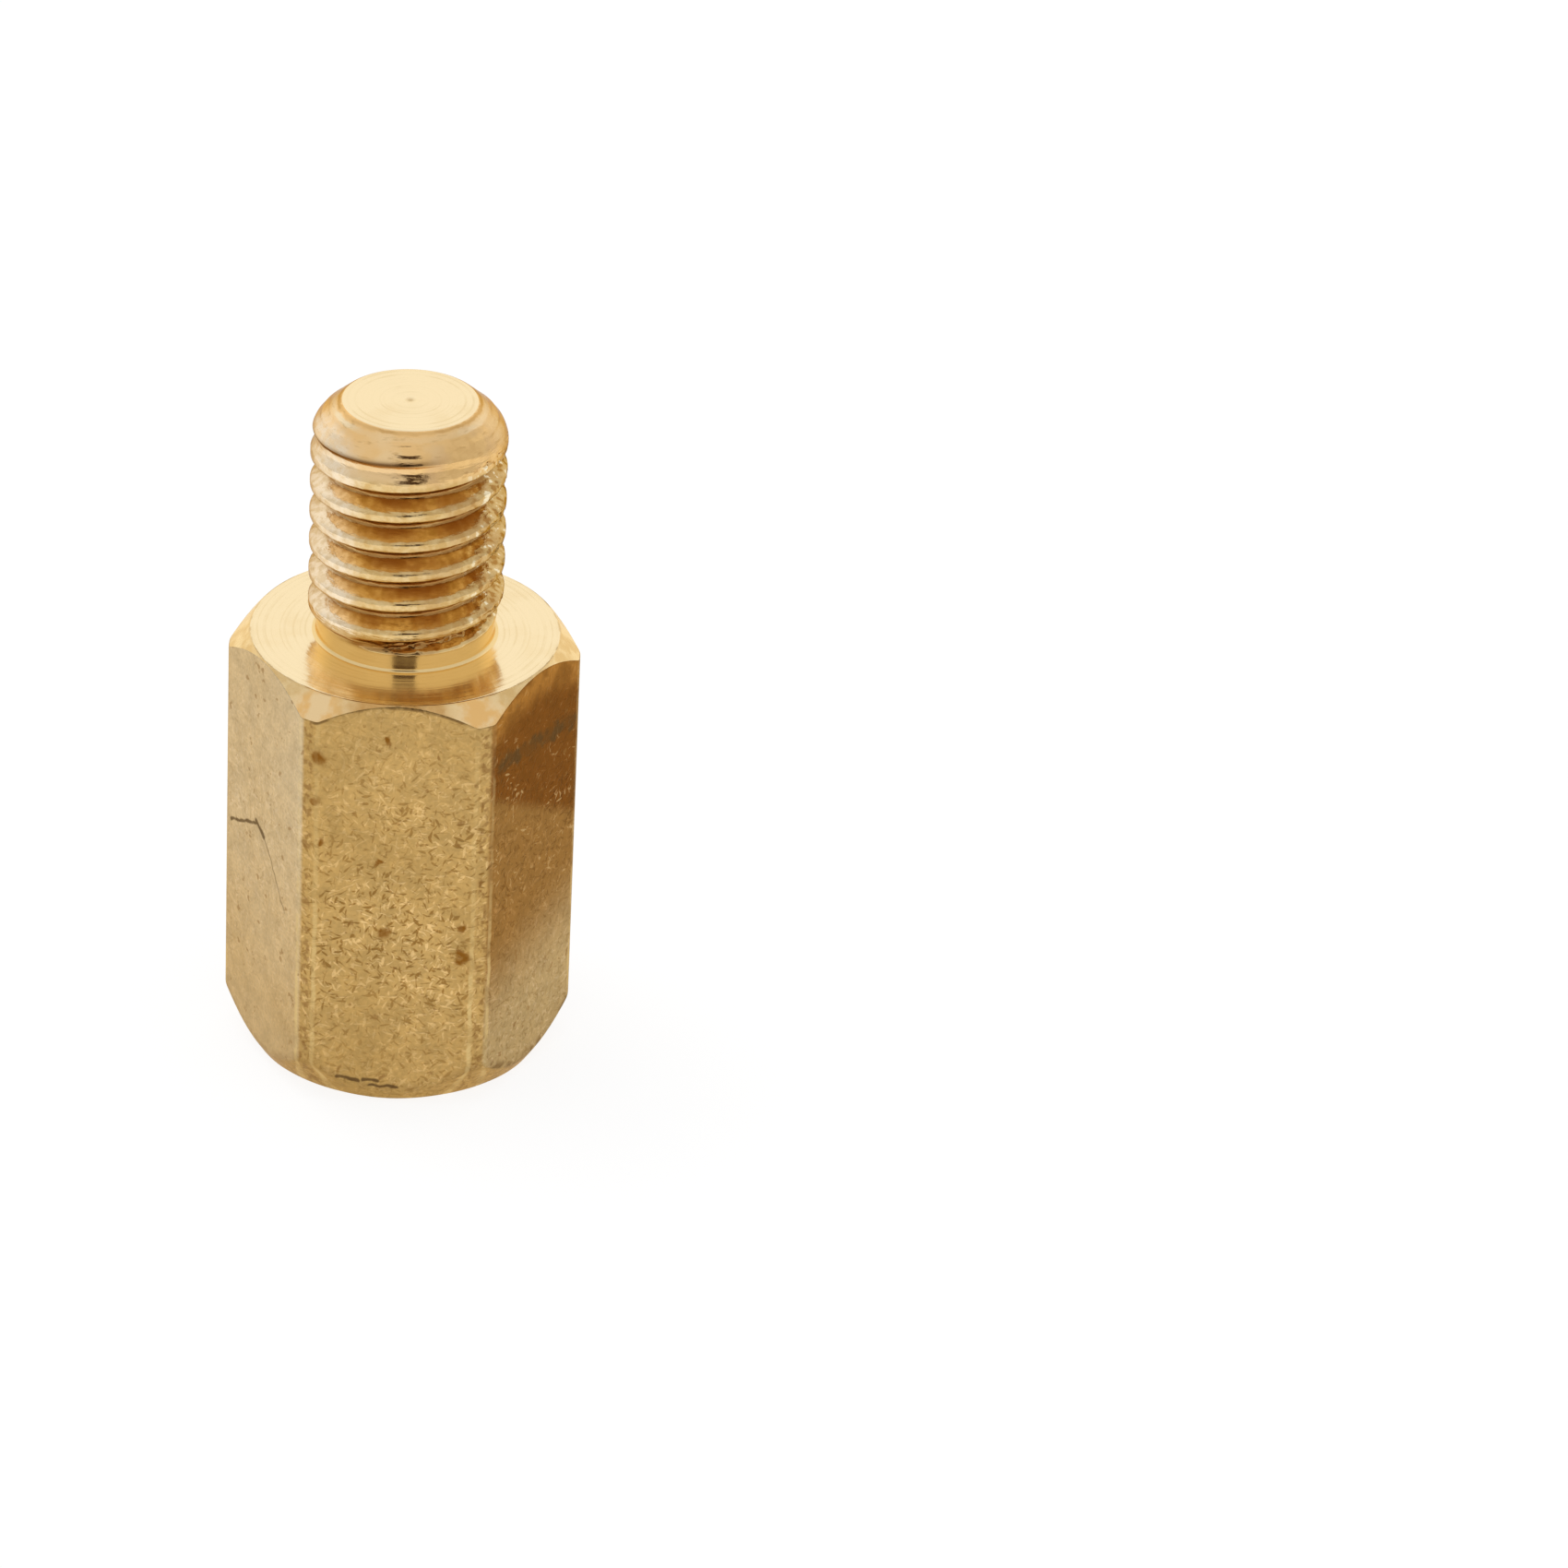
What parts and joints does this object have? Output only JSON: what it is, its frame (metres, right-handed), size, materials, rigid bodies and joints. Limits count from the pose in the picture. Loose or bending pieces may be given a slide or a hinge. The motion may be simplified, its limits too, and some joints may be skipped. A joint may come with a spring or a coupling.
{
  "type": "hex standoff",
  "caption": "Brass male-female hex standoff: a short hex body with a threaded stud on one end and a tapped hole in the other, to hold a board off a panel.",
  "frame": {"origin": "centre of the foot, the flat ring at the tapped end", "axes": "+Z along the axis towards the stud's tip, -Y out of one flat of the hex"},
  "size_m": [0.0054, 0.0048, 0.0109],
  "materials": {
    "brass": "turned, tumbled and lightly pitted"
  },
  "bodies": {
    "root": {"hex_standoff": "brass"}
  },
  "joints": []
}
